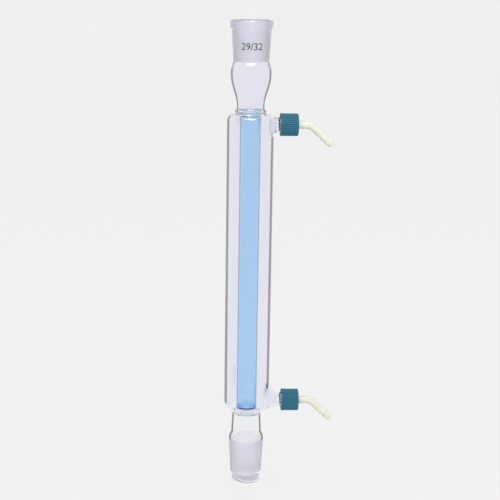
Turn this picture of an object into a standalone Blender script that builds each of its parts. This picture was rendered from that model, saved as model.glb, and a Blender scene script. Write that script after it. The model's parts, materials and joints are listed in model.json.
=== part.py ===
"""Straight-tube (Liebig) reflux condenser with two ground joints and two screw-on hose connections.

Lengths are millimetres here and metres in the scene. The origin is the centre of the ground
cone's large end, +Z runs up the vapour path and both side arms point along +X.
"""

import math

import bmesh
import bpy
import numpy as np
from mathutils import Vector

for old in list(bpy.data.objects):
    bpy.data.objects.remove(old, do_unlink=True)

MM = 0.001
SEAM = 0.3
TURNS = 36
FITTING_TURNS = 24
CONNECTOR_TURNS = 16

# Standard-taper ground joint: diameter at the large end and taper on the diameter.
GROUND_D = 29.2
GROUND_TAPER = 0.1
SOCKET_GROUND_LENGTH = 32.0
CONE_GROUND_LENGTH = 29.6

# Socket at the top, with a short lead-in above the ground length and a bead round its mouth.
SOCKET_WALL = 1.6
SOCKET_LIP = 1.0
SOCKET_CHAMFER = 0.4
BEAD_STEP = 1.1
BEAD_HEIGHT = 7.0
BEAD_ROUND = 1.2

# Vase-shaped neck between the socket and the jacket, and the collar that it ends in.
UPPER_NECK_LENGTH = 40.0
NECK_WALL = 1.6
NECK_STEP = 2.85
NECK_STRAIGHT = 4.7
BULGE_STEP = 2.05
BULGE_DROP = 8.7
BULGE_FULLNESS = 1.15
COLLAR_HEIGHT = 1.5
COLLAR_FILLET = 1.2
WEB_THICKNESS = 1.6

# Water jacket.
JACKET_D = 38.5
JACKET_LENGTH = 254.0
JACKET_WALL = 1.8
UPPER_RIM_GAP = 3.0
UPPER_RIM_FLAT = 1.45
LOWER_SHOULDER_SLOPE = 0.96
LOWER_SHOULDER_RADIUS = 6.5
LOWER_RIM_WALL = 1.9

# Inner tube that carries the vapour through the jacket.
TUBE_D = 17.0
TUBE_WALL = 1.2

# Neck below the jacket and the funnel that the inner tube opens into.
LOWER_NECK_LENGTH = 23.0
LOWER_NECK_WALL = 1.7
LOWER_NECK_SWELL = 0.55
FUNNEL_HEIGHT = 4.4
FUNNEL_LAND = 0.8
FUNNEL_SPREAD = 1.4
FUNNEL_GAP = 0.4
FUNNEL_MOUTH = 1.5
CONE_SHOULDER = 6.5

# Ground cone and its obliquely cut drip tip.
CONE_WALL = 1.8
TIP_INSET = 1.1
TIP_WALL = 1.6
TIP_STEP = 1.4
TIP_LENGTH = 7.3
TIP_SLANT = 2.4
TIP_LOW_SIDE = math.radians(-40)

# Side arms: outlets pulled from the jacket, each ending in a moulded nozzle.
ARM_D = 11.0
ARM_WALL = 1.5
UPPER_OUTLET_LENGTH = 2.65
LOWER_OUTLET_LENGTH = 7.75
UPPER_ARM_MARGIN = 0.9
LOWER_ARM_MARGIN = 1.85
NOZZLE_LENGTH = 10.2
NOZZLE_CORE_STEP = 0.35
NOZZLE_RUNOUT = 1.4
NOZZLE_CHAMFER = 0.5
NOZZLE_BORE_CHAMFER = 0.3
FOOT_SPREAD = 4.7
FOOT_TRIM = 1.3
FOOT_STRETCH = 0.9
FOOT_MARGIN = 1.5
FOOT_PULL = 0.75
ARM_PULL = 0.9

# Screw cap of one side arm.
THREAD_ROOM = 1.45
CAP_LENGTH = 14.8
CAP_WALL = 1.8
CAP_END_WALL = 2.0
CAP_HOLE_GAP = 0.4
CAP_FLANGE = 1.4
CAP_FLANGE_STEP = 0.2
CAP_ROUND = 1.3
CAP_CHAMFER = 0.3
CAP_RIBS = 32
RIB_DEPTH = 0.45

# Sealing ring and hose connector of one side arm.
RING_THICKNESS = 2.0
RING_INSET = 0.05
RING_GAP = 0.3
FLANGE_THICKNESS = 1.5
FLANGE_GAP = 1.0
SPIGOT_GAP = 1.1
SPIGOT_WALL = 0.9
SPIGOT_LENGTH = 7.0
CONNECTOR_STEP = 0.4
CONNECTOR_STRAIGHT = 5.9
BEND_RADIUS = 10.0
BEND_ANGLE = math.radians(42)
BEND_STEPS = 5
TAIL_LENGTH = 20.2
TAIL_DRAFT = 0.3
BARB_PITCH = 4.5
BARB_HEIGHT = 0.45
BARB_ROOT = 0.2
BARB_LEAD = 0.5
TAIL_NOSE = 0.8
TAIL_NOSE_DRAFT = 0.35

# Heights along the main axis.
Z_JACKET = LOWER_NECK_LENGTH
Z_TUBE = Z_JACKET + FUNNEL_HEIGHT
Z_SEAL = Z_JACKET + JACKET_LENGTH
Z_SOCKET = Z_SEAL + UPPER_NECK_LENGTH
Z_RIM = Z_SOCKET + SOCKET_GROUND_LENGTH + SOCKET_LIP

# Radii that two or more pieces share.
TUBE_RADIUS = TUBE_D / 2
TUBE_BORE = TUBE_RADIUS - TUBE_WALL
NECK_RADIUS = TUBE_RADIUS + NECK_STEP
UPPER_RIM = TUBE_RADIUS + UPPER_RIM_GAP
FUNNEL_ROOT = TUBE_RADIUS + FUNNEL_SPREAD
LOWER_RIM_BORE = FUNNEL_ROOT + FUNNEL_GAP
LOWER_RIM = LOWER_RIM_BORE + LOWER_RIM_WALL
ARM_RADIUS = ARM_D / 2
ARM_BORE = ARM_RADIUS - ARM_WALL
NOZZLE_CORE = ARM_RADIUS + NOZZLE_CORE_STEP
CAP_BORE = NOZZLE_CORE + THREAD_ROOM
SPIGOT = ARM_BORE - SPIGOT_GAP
CONNECTOR = SPIGOT + CONNECTOR_STEP

# Arm axes: each foot keeps its margin to the jacket's end, and each nozzle follows its outlet.
FOOT = ARM_RADIUS + FOOT_SPREAD
Z_LOWER_ARM = Z_JACKET + LOWER_ARM_MARGIN + FOOT - FOOT_TRIM
Z_UPPER_ARM = Z_SEAL - UPPER_ARM_MARGIN - FOOT + FOOT_TRIM
LOWER_ARM_REACH = JACKET_D / 2 + LOWER_OUTLET_LENGTH + SEAM + NOZZLE_LENGTH
UPPER_ARM_REACH = JACKET_D / 2 + UPPER_OUTLET_LENGTH + SEAM + NOZZLE_LENGTH

# Stack of fittings along an arm, measured from the nozzle's end face.
RING_START = SEAM
FLANGE_START = RING_START + RING_THICKNESS + SEAM
CAP_INSIDE = FLANGE_START + FLANGE_THICKNESS + SEAM
CAP_END = CAP_INSIDE + CAP_END_WALL


def material(name, colour, roughness, transmission=0.0):
    made = bpy.data.materials.new(name)
    made.use_nodes = True
    shader = made.node_tree.nodes["Principled BSDF"]
    shader.inputs["Base Color"].default_value = (*colour, 1.0)
    shader.inputs["Roughness"].default_value = roughness
    shader.inputs["Metallic"].default_value = 0.0
    shader.inputs["Transmission Weight"].default_value = transmission
    shader.inputs["IOR"].default_value = 1.473
    return made


CLEAR_GLASS = material("clear_glass", (0.95, 0.95, 0.98), 0.02, 1.0)
GROUND_GLASS = material("ground_glass", (0.88, 0.88, 0.93), 0.55, 0.8)
BLUE_GLASS = material("blue_glass", (0.45, 0.68, 0.90), 0.02, 1.0)
CAP_PLASTIC = material("cap_plastic", (0.045, 0.19, 0.29), 0.42)
CONNECTOR_PLASTIC = material("connector_plastic", (0.82, 0.82, 0.68), 0.38)
SEAL_RUBBER = material("seal_rubber", (0.70, 0.70, 0.68), 0.6)


def add_object(name, mesh, look, parent=None):
    made = bpy.data.objects.new(name, mesh)
    if not mesh.materials:
        mesh.materials.append(look)
    made.parent = parent
    bpy.context.scene.collection.objects.link(made)
    return made


def finished(bm, name):
    """The closed form in bm as a mesh in metres, facing out, with smooth round sides."""
    bmesh.ops.remove_doubles(bm, verts=bm.verts, dist=1e-4)
    bmesh.ops.recalc_face_normals(bm, faces=bm.faces)
    bmesh.ops.scale(bm, vec=(MM, MM, MM), verts=bm.verts)
    mesh = bpy.data.meshes.new(name)
    bm.to_mesh(mesh)
    bm.free()
    mesh.shade_smooth()
    mesh.set_sharp_from_angle(angle=math.radians(32))
    return mesh


def spun(outline, turns=TURNS):
    """A closed outline of (radius, height) points spun round the Z axis."""
    bm = bmesh.new()
    points = [bm.verts.new((r, 0.0, z)) for r, z in outline]
    edges = [bm.edges.new((a, b)) for a, b in zip(points, points[1:] + points[:1])]
    bmesh.ops.spin(
        bm,
        geom=points + edges,
        cent=(0, 0, 0),
        axis=(0, 0, 1),
        angle=2 * math.pi,
        steps=turns,
        use_merge=True,
    )
    return bm


def skinned(bm, rings):
    """Quads between each ring of points and the next."""
    for first, second in zip(rings, rings[1:]):
        for k in range(len(first)):
            near = k - 1
            bm.faces.new((first[near], first[k], second[k], second[near]))


def arc(centre, radius, start, end, steps):
    """Points of an arc in the (radius, height) plane, angles in degrees."""
    turns = np.radians(np.linspace(start, end, steps + 1))
    return [(centre[0] + radius * math.cos(a), centre[1] + radius * math.sin(a)) for a in turns]


def swept(start, end, shape, steps):
    """Points after start to end, whose radius follows shape(share of the height)."""
    points = []
    for step in range(1, steps + 1):
        share = step / steps
        radius = start[0] + (end[0] - start[0]) * shape(share)
        points.append((radius, start[1] + (end[1] - start[1]) * share))
    return points


def set_in(points, wall):
    return [(r - wall, z) for r, z in points]


def ground_radius(depth):
    """Radius of the ground taper at a distance below its large end."""
    return (GROUND_D - GROUND_TAPER * depth) / 2


# Socket joint: ground inside, plain outside, with a heavy fire-polished bead round the mouth.
def socket_outline():
    small = ground_radius(SOCKET_GROUND_LENGTH)
    large = ground_radius(0)
    bead = large + SOCKET_WALL + BEAD_STEP
    under = Z_RIM - BEAD_HEIGHT
    body = ground_radius(BEAD_HEIGHT) + SOCKET_WALL
    outline = [(small, Z_SOCKET), (small + SOCKET_WALL, Z_SOCKET), (body, under - BEAD_ROUND)]
    outline += arc((bead - BEAD_ROUND, under + BEAD_ROUND), BEAD_ROUND, -60, 0, 2)
    outline += arc((bead - BEAD_ROUND, Z_RIM - BEAD_ROUND), BEAD_ROUND, 0, 90, 3)
    outline += [(large + SOCKET_CHAMFER, Z_RIM), (large, Z_RIM - SOCKET_LIP)]
    return outline


add_object("socket_joint", finished(spun(socket_outline()), "socket_joint"), GROUND_GLASS)


# Upper neck: drawn from the socket as a vase, ending in the collar that seals jacket and inner tube.
def upper_neck_outline():
    waist = (ground_radius(SOCKET_GROUND_LENGTH) + SOCKET_WALL, Z_SOCKET - SEAM)
    bulge = (waist[0] + BULGE_STEP, Z_SOCKET - BULGE_DROP)
    neck = (NECK_RADIUS, Z_SEAL + NECK_STRAIGHT)
    vase = [waist]
    vase += swept(waist, bulge, lambda s: math.sin(s * math.pi / 2), 3)
    vase += swept(bulge, neck, lambda s: (1 - math.cos(s**BULGE_FULLNESS * math.pi)) / 2, 6)
    crown = Z_SEAL + COLLAR_HEIGHT
    bead = COLLAR_HEIGHT / 2
    outer = arc((NECK_RADIUS + COLLAR_FILLET, crown + COLLAR_FILLET), COLLAR_FILLET, 180, 270, 2)
    outer += arc((NECK_RADIUS + COLLAR_FILLET, Z_SEAL + bead), bead, 90, -90, 4)[1:]
    floor = Z_SEAL + WEB_THICKNESS
    bore = NECK_RADIUS - NECK_WALL
    inner = [(TUBE_BORE, Z_SEAL), (TUBE_BORE, floor)]
    inner += arc((bore - COLLAR_FILLET, floor + COLLAR_FILLET), COLLAR_FILLET, -90, 0, 2)
    return vase + outer + inner + set_in(vase, NECK_WALL)[::-1]


add_object("upper_neck", finished(spun(upper_neck_outline()), "upper_neck"), CLEAR_GLASS)


# Inner tube: plain drawn tube between the two seals.
def tube_outline():
    low = Z_TUBE + SEAM
    high = Z_SEAL - SEAM
    return [(TUBE_BORE, low), (TUBE_RADIUS, low), (TUBE_RADIUS, high), (TUBE_BORE, high)]


add_object("inner_tube", finished(spun(tube_outline()), "inner_tube"), BLUE_GLASS)


# Lower neck: funnel under the inner tube, seat for the jacket and a barrel that opens onto the cone.
def lower_neck_outline():
    tube = (TUBE_RADIUS, Z_TUBE - FUNNEL_LAND)
    bore = (TUBE_BORE, Z_TUBE - FUNNEL_LAND)
    seat = (LOWER_RIM, Z_JACKET)
    middle = (LOWER_RIM + LOWER_NECK_SWELL, CONE_SHOULDER)
    mouth = (LOWER_RIM - LOWER_NECK_WALL, Z_JACKET - FUNNEL_MOUTH)
    funnel = [(TUBE_RADIUS, Z_TUBE), tube]
    funnel += swept(tube, (FUNNEL_ROOT, Z_JACKET), lambda s: 1 - math.cos(s * math.pi / 2), 3)
    barrel = swept(seat, middle, lambda s: math.sin(s * math.pi / 2) ** 2, 3)
    barrel += swept(middle, (ground_radius(0), SEAM), lambda s: math.sin(s * math.pi / 2) ** 1.6, 4)
    throat = [(TUBE_BORE, Z_TUBE), bore]
    throat += swept(bore, mouth, lambda s: s**2, 3)
    return funnel + [seat] + barrel + (throat + set_in(barrel, LOWER_NECK_WALL))[::-1]


add_object("lower_neck", finished(spun(lower_neck_outline()), "lower_neck"), CLEAR_GLASS)


# Cone joint: ground outside, with a clear drip tip cut at a slant so that drops leave from one point.
def cone_joint():
    large = ground_radius(0)
    small = ground_radius(CONE_GROUND_LENGTH)
    tip = small - TIP_INSET
    low = -CONE_GROUND_LENGTH - TIP_STEP
    end = -CONE_GROUND_LENGTH - TIP_LENGTH
    outline = [(large - CONE_WALL, 0.0), (large, 0.0), (small, -CONE_GROUND_LENGTH)]
    outline += swept(outline[-1], (tip, low), lambda s: math.sin(s * math.pi / 2), 2)
    outline += [(tip, end - TIP_SLANT), (tip - TIP_WALL, end - TIP_SLANT)]
    outline += [(tip - TIP_WALL, low), (small - CONE_WALL, -CONE_GROUND_LENGTH)]
    bm = spun(outline)
    across = Vector((math.cos(TIP_LOW_SIDE), math.sin(TIP_LOW_SIDE), 0.0))
    cut = bmesh.ops.bisect_plane(
        bm,
        geom=bm.verts[:] + bm.edges[:] + bm.faces[:],
        plane_co=(0.0, 0.0, end),
        plane_no=-across * (TIP_SLANT / (2 * tip)) - Vector((0.0, 0.0, 1.0)),
        clear_outer=True,
    )
    rim = [part for part in cut["geom_cut"] if isinstance(part, bmesh.types.BMEdge)]
    bmesh.ops.bridge_loops(bm, edges=rim)
    return finished(bm, "cone_joint")


add_object("cone_joint", cone_joint(), GROUND_GLASS)


# Jacket: blown tube with a round upper shoulder, a conical lower one and an outlet pulled out for
# each side arm. Each outlet is lofted from a foot that lies in the tube's own surface.
FOOT_REACH = math.asin((FOOT + FOOT_MARGIN) / (JACKET_D / 2))
ARM_COLUMNS = math.ceil(FOOT_REACH * TURNS / (2 * math.pi))


def jacket_side(wall):
    """Outline of the jacket from its lower to its upper rim, set in by a wall."""
    body = JACKET_D / 2 - wall
    low = Z_JACKET + SEAM
    high = Z_SEAL - SEAM - wall
    rim = LOWER_RIM_BORE if wall else LOWER_RIM
    bend = LOWER_SHOULDER_RADIUS - wall
    lean = math.atan(LOWER_SHOULDER_SLOPE)
    corner = low + (body - rim) / LOWER_SHOULDER_SLOPE
    reach = bend * math.tan(lean / 2)
    begin = (body - reach * math.sin(lean), corner - reach * math.cos(lean))
    side = [(rim + (begin[0] - rim) * s, low + (begin[1] - low) * s) for s in (0.0, 0.34, 0.67)]
    side += arc((body - bend, corner + reach), bend, -math.degrees(lean), 0, 3)
    side += [(body, Z_LOWER_ARM + FOOT * s) for s in (0.45, 0.85, 1.3)]
    side += [(body, Z_UPPER_ARM - FOOT * s) for s in (1.3, 0.85, 0.4, 0.0)]
    flat = UPPER_RIM + UPPER_RIM_FLAT
    side += arc((flat, high - (body - flat)), body - flat, 0, 90, 5)
    side.append((UPPER_RIM, high))
    return side


def outlet_rings(side, loop, height, reach, radius, foot_at):
    """Points from a window in the side of the jacket to the end of a pulled outlet, ring by ring."""
    r_all = np.array([p[0] for p in side])
    z_all = np.array([p[1] for p in side])
    run = np.concatenate([[0.0], np.cumsum(np.hypot(np.diff(r_all), np.diff(z_all)))])

    def on_side(turn, out):
        y = out * math.cos(turn)
        along = float(np.interp(height + out * math.sin(turn), z_all, run))
        return math.asin(y / float(np.interp(along, run, r_all))), along

    def at(angle, along):
        r = float(np.interp(along, run, r_all))
        return Vector((r * math.cos(angle), r * math.sin(angle), float(np.interp(along, run, z_all))))

    window = []
    for row, column in loop:
        angle = 2 * math.pi * column / TURNS
        turn = math.atan2(z_all[row] - height, r_all[row] * math.sin(angle))
        window.append((angle, run[row], turn, foot_at(math.sin(turn))))
    rings = []
    for share in (0.55, 1.0):
        ring = []
        for angle, along, turn, out in window:
            foot = on_side(turn, out)
            ring.append(at(angle + (foot[0] - angle) * share, along + (foot[1] - along) * share))
        rings.append(ring)
    for step in range(1, 6):
        s = step / 5
        ring = []
        for angle, along, turn, out in window:
            foot = at(*on_side(turn, out))
            lean = (at(*on_side(turn, 0.95 * out)) - foot).normalized()
            end = Vector((reach, radius * math.cos(turn), height + radius * math.sin(turn)))
            span = (end - foot).length
            leave = (s**3 - 2 * s**2 + s) * FOOT_PULL * span
            arrive = (s**3 - s**2) * ARM_PULL * span
            place = foot * (2 * s**3 - 3 * s**2 + 1) + end * (3 * s**2 - 2 * s**3)
            ring.append(place + lean * leave + Vector((1.0, 0.0, 0.0)) * arrive)
        rings.append(ring)
    return rings


def jacket_skin(bm, wall):
    """One face of the jacket's wall. Returns its lower rim, upper rim and outlet ends as vertex loops."""
    side = jacket_side(wall)
    last = len(side) - 1
    foot = FOOT - wall
    trim = FOOT_TRIM + 0.5 * wall

    def low_foot(rise):
        return foot - (-FOOT_STRETCH if rise > 0 else FOOT_TRIM) * rise * rise

    def high_foot(rise):
        return foot - (trim if rise > 0 else -FOOT_STRETCH) * rise * rise

    straight = [k for k in range(last) if side[k][0] == side[k + 1][0]]
    low_window = (0, next(k for k in straight if side[k][1] > Z_LOWER_ARM + FOOT))
    high_window = (low_window[1] + 1, last - 1)
    outlets = (
        (low_window, Z_LOWER_ARM, LOWER_ARM_REACH, low_foot),
        (high_window, Z_UPPER_ARM, UPPER_ARM_REACH, high_foot),
    )
    verts = {}

    def vert(row, column):
        key = (row, column % TURNS)
        if key not in verts:
            angle = 2 * math.pi * key[1] / TURNS
            r, z = side[row]
            verts[key] = bm.verts.new((r * math.cos(angle), r * math.sin(angle), z))
        return verts[key]

    for row in range(last):
        windowed = any(window[0] <= row < window[1] for window, _, _, _ in outlets)
        for column in range(ARM_COLUMNS if windowed else -ARM_COLUMNS, TURNS - ARM_COLUMNS):
            corners = ((row, column), (row, column + 1), (row + 1, column + 1), (row + 1, column))
            bm.faces.new([vert(*corner) for corner in corners])
    ends = []
    for (first, final), height, reach, foot_at in outlets:
        columns = range(-ARM_COLUMNS, ARM_COLUMNS)
        loop = [(first, c) for c in columns]
        loop += [(row, ARM_COLUMNS) for row in range(first, final)]
        loop += [(final, -c) for c in columns]
        loop += [(row, -ARM_COLUMNS) for row in range(final, first, -1)]
        radius = ARM_BORE if wall else ARM_RADIUS
        end = reach - NOZZLE_LENGTH - SEAM
        points = outlet_rings(side, loop, height, end, radius, foot_at)
        rings = [[vert(*spot) for spot in loop]]
        rings += [[bm.verts.new(point) for point in ring] for ring in points]
        skinned(bm, rings)
        ends.append(rings[-1])
    rim = [vert(0, column) for column in range(TURNS)]
    crown = [vert(last, column) for column in range(TURNS)]
    return [rim, crown, *ends]


def jacket():
    bm = bmesh.new()
    outside = jacket_skin(bm, 0.0)
    inside = jacket_skin(bm, JACKET_WALL)
    for outer, inner in zip(outside, inside):
        skinned(bm, [outer, inner])
    return finished(bm, "jacket")


add_object("jacket", jacket(), CLEAR_GLASS)


# Both side arms end in the same moulded nozzle and take the same fittings. They are modelled along
# +Z from the nozzle's end face and turned onto +X by the empty on each arm's axis.
def arm_axis(name, reach, height):
    made = bpy.data.objects.new(name, None)
    made.location = (reach * MM, 0.0, height * MM)
    made.rotation_euler = (0.0, math.pi / 2, 0.0)
    bpy.context.scene.collection.objects.link(made)
    return made


ARMS = {
    "upper": arm_axis("upper_arm_axis", UPPER_ARM_REACH, Z_UPPER_ARM),
    "lower": arm_axis("lower_arm_axis", LOWER_ARM_REACH, Z_LOWER_ARM),
}


def nozzle_outline():
    start = -NOZZLE_LENGTH
    plain = start + NOZZLE_RUNOUT
    outline = [(ARM_BORE, start), (ARM_RADIUS, start), (ARM_RADIUS, plain)]
    outline += [(NOZZLE_CORE, plain + NOZZLE_RUNOUT / 2), (NOZZLE_CORE, -NOZZLE_CHAMFER)]
    outline += [(NOZZLE_CORE - NOZZLE_CHAMFER, 0.0)]
    return outline + [(ARM_BORE + NOZZLE_BORE_CHAMFER, 0.0), (ARM_BORE, -NOZZLE_BORE_CHAMFER)]


def ring_outline():
    hole = SPIGOT + RING_GAP
    rim = NOZZLE_CORE - RING_INSET
    end = RING_START + RING_THICKNESS
    return [(hole, RING_START), (rim, RING_START), (rim, end), (hole, end)]


def screw_cap():
    """Ribbed closure, open toward -Z, with a hole in its end for the hose connector."""
    open_end = CAP_END - CAP_LENGTH
    flange_end = open_end + CAP_FLANGE
    crest = CAP_BORE + CAP_WALL
    lip = crest + CAP_FLANGE_STEP
    hole = CONNECTOR + CAP_HOLE_GAP
    round_start = CAP_END - CAP_ROUND
    plain = [(CAP_BORE, open_end), (lip - CAP_CHAMFER, open_end), (lip, open_end + CAP_CHAMFER)]
    stages = [(r, z, 0.0) for r, z in plain + [(lip, flange_end)]]
    stages += [(crest, flange_end, RIB_DEPTH), (crest, round_start, RIB_DEPTH)]
    end = arc((crest - CAP_ROUND, round_start), CAP_ROUND, 45, 90, 1)
    stages += [(r, z, 0.0) for r, z in end + [(hole, CAP_END), (hole, CAP_INSIDE), (CAP_BORE, CAP_INSIDE)]]
    bm = bmesh.new()
    rings = []
    for radius, height, groove in stages:
        ring = []
        for step in range(2 * CAP_RIBS):
            angle = math.pi * step / CAP_RIBS
            r = radius - groove * (step % 2)
            ring.append(bm.verts.new((r * math.cos(angle), r * math.sin(angle), height)))
        rings.append(ring)
    skinned(bm, rings + rings[:1])
    return finished(bm, "screw_cap")


def hose_connector():
    """Elbow with a flange inside the cap, a spigot through the ring and a barbed tail, bent toward +X."""
    straight = CAP_END + CONNECTOR_STRAIGHT
    bend = BEND_RADIUS * BEND_ANGLE
    whole = straight + bend + TAIL_LENGTH
    back = FLANGE_START - SPIGOT_LENGTH

    def ring(run, radius):
        turn = min(max((run - straight) / BEND_RADIUS, 0.0), BEND_ANGLE)
        past = max(run - straight - bend, 0.0)
        x = BEND_RADIUS * (1 - math.cos(turn)) + past * math.sin(turn)
        z = min(run, straight) + BEND_RADIUS * math.sin(turn) + past * math.cos(turn)
        points = []
        for step in range(CONNECTOR_TURNS):
            angle = 2 * math.pi * step / CONNECTOR_TURNS
            side = radius * math.cos(angle)
            points.append((x + side * math.cos(turn), radius * math.sin(angle), z - side * math.sin(turn)))
        return points

    flange_end = FLANGE_START + FLANGE_THICKNESS
    flange = CAP_BORE - FLANGE_GAP
    tail = CONNECTOR - TAIL_DRAFT
    barb = tail + BARB_HEIGHT
    root = tail - BARB_ROOT
    hole = SPIGOT - SPIGOT_WALL
    stations = [straight + bend * step / BEND_STEPS for step in range(BEND_STEPS + 1)]
    outside = [(back, SPIGOT), (FLANGE_START, SPIGOT), (FLANGE_START, flange), (flange_end, flange)]
    outside.append((flange_end, CONNECTOR))
    outside += [(run, CONNECTOR - TAIL_DRAFT * (run - straight) / bend) for run in stations]
    outside += [(whole - 2 * BARB_PITCH - BARB_LEAD, tail), (whole - 2 * BARB_PITCH, barb)]
    outside += [(whole - BARB_PITCH - BARB_LEAD, root), (whole - BARB_PITCH, barb)]
    outside += [(whole - TAIL_NOSE, root), (whole, tail - TAIL_NOSE_DRAFT)]
    inside = [(whole, hole)] + [(run, hole) for run in stations[::-1]] + [(back, hole)]
    bm = bmesh.new()
    rings = [[bm.verts.new(p) for p in ring(*place)] for place in outside + inside]
    skinned(bm, rings + rings[:1])
    return finished(bm, "hose_connector")


NOZZLE = finished(spun(nozzle_outline(), FITTING_TURNS), "side_arm")
RING = finished(spun(ring_outline(), FITTING_TURNS), "sealing_ring")
CAP = screw_cap()
ELBOW = hose_connector()

for level, axis in ARMS.items():
    add_object(level + "_side_arm", NOZZLE, CLEAR_GLASS, axis)
    add_object(level + "_sealing_ring", RING, SEAL_RUBBER, axis)
    add_object(level + "_screw_cap", CAP, CAP_PLASTIC, axis)
    add_object(level + "_hose_connector", ELBOW, CONNECTOR_PLASTIC, axis)
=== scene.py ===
import json
import math

import bmesh
import bpy
import numpy as np
from mathutils import Matrix, Vector


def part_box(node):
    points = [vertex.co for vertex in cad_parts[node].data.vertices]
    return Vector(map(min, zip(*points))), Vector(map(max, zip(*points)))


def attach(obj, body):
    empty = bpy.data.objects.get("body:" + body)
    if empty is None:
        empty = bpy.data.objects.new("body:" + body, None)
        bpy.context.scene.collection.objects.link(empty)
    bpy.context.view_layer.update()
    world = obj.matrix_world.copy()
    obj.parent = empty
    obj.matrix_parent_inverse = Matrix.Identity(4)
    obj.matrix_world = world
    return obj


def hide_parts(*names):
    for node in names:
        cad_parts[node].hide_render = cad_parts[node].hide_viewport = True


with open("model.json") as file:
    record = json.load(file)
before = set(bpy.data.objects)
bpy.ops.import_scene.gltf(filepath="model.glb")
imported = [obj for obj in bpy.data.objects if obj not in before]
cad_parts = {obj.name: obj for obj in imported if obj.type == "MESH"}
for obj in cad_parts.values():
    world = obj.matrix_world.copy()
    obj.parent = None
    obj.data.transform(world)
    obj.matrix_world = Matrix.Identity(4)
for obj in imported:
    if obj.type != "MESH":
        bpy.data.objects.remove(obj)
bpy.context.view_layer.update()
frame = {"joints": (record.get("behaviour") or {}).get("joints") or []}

# Ground cone and drip tip: the lower end of the borosilicate glass. It is ground to a 1 in 10 taper that
# seals in a flask's neck, then drawn in and cut at a slant so that drops leave from one point. Sizes
# here and in the next sections are in millimetres.
MM = 0.001
outside = []
inside = []
cone_low, cone_high = (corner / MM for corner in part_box("cone_joint"))
CONE_LARGE = cone_high.y
CONE_GROUND = 29.6
TAPER = 0.1
CONE_SMALL = CONE_LARGE - TAPER / 2 * CONE_GROUND
CONE_WALL = 1.8
CONE_BORE_STEP = 0.4
TIP_SLANT = 2.4
TIP_LOW_SIDE = math.radians(-40)
TIP_END = cone_low.z + TIP_SLANT / 2
TIP_STEP = 1.4
TIP_DRAW = 1.1
TIP_RADIUS = CONE_SMALL - TIP_DRAW
TIP_WALL = 1.6
TIP_BEVEL = 3.0
FIRE_POLISH = 0.55
TIP_HIGHLIGHT_STREAK = 1.5


def arc(centre, radius, start, end, steps):
    """Points of an arc in the (radius, height) plane, angles in degrees."""
    turns = np.radians(np.linspace(start, end, steps + 1))
    return [(centre[0] + radius * math.cos(a), centre[1] + radius * math.sin(a)) for a in turns]


def drawn(start, end, steps, shape=lambda s: s):
    """Points after start to end, as the glass is drawn: the radius follows shape(share of the height)."""
    shares = [step / steps for step in range(1, steps + 1)]
    rise = end[1] - start[1]
    return [(start[0] + (end[0] - start[0]) * shape(s), start[1] + rise * s) for s in shares]


def bell(s):
    """A swell that leaves and arrives straight."""
    return (1 - math.cos(s * math.pi)) / 2


def flare(s, swell=1.0):
    """A trumpet that leaves straight and opens to its end, where more swell straightens it."""
    return 1 - math.cos(s * math.pi / 2) ** swell


outside += arc((TIP_RADIUS - FIRE_POLISH, TIP_END + FIRE_POLISH), FIRE_POLISH, -90, 0, 5)
outside += drawn(outside[-1], (TIP_RADIUS, -CONE_GROUND - TIP_STEP), 6)
outside += drawn(outside[-1], (CONE_SMALL, -CONE_GROUND), 6, flare)
outside += drawn(outside[-1], (CONE_LARGE, 0.0), 12)

inside += arc((TIP_RADIUS - TIP_WALL + FIRE_POLISH, TIP_END + FIRE_POLISH), FIRE_POLISH, -90, -180, 5)
inside += drawn(inside[-1], (TIP_RADIUS - TIP_WALL, -CONE_GROUND - TIP_STEP), 6)
inside += drawn(inside[-1], (CONE_SMALL - CONE_WALL, -CONE_GROUND + CONE_BORE_STEP), 5, bell)
inside += drawn(inside[-1], (CONE_LARGE - CONE_WALL, 0.0), 10)

# Lower neck: a clear barrel of the same glass, drawn from the cone's shoulder up to the jacket, with a
# funnel inside it that is sealed to the end of the inner tube.
neck_top = (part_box("lower_neck")[1] / MM).z
jacket_low, jacket_high = (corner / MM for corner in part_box("jacket"))
tube_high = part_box("inner_tube")[1] / MM
TUBE_RADIUS = tube_high.y
TUBE_WALL = 1.2
TUBE_BORE = TUBE_RADIUS - TUBE_WALL
SEAT_RADIUS = 12.2
BARREL_RADIUS = 12.75
BARREL_HEIGHT = 6.5
BARREL_WALL = 1.7
BARREL_SWELL = 1.6
HALF_SEAM = 0.15
SEAT_FILLET = 3.4
SHOULDER_SLOPE = 0.96
SHOULDER_LEAN = math.degrees(math.atan(SHOULDER_SLOPE))
SHOULDER_BORE = 10.3
FUNNEL_TOP = neck_top - 0.05
FUNNEL_RADIUS = 10.0
GROOVE_ROUND = 0.75
THROAT_LENGTH = 4.8
THROAT_LAND = 0.2
THROAT_DEPTH = 2.6

barrel_top = (BARREL_RADIUS, BARREL_HEIGHT)
barrel = drawn((CONE_LARGE, 0.0), barrel_top, 12, lambda s: flare(s, BARREL_SWELL))
seat_rise = SEAT_FILLET * math.tan(math.radians(SHOULDER_LEAN / 2))
seat_low = (SEAT_RADIUS, jacket_low.z - HALF_SEAM - seat_rise)
barrel += drawn(barrel[-1], seat_low, 10, bell)
outside += barrel
outside += arc((SEAT_RADIUS + SEAT_FILLET, seat_low[1]), SEAT_FILLET, 180, 180 - SHOULDER_LEAN, 8)[1:]

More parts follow.
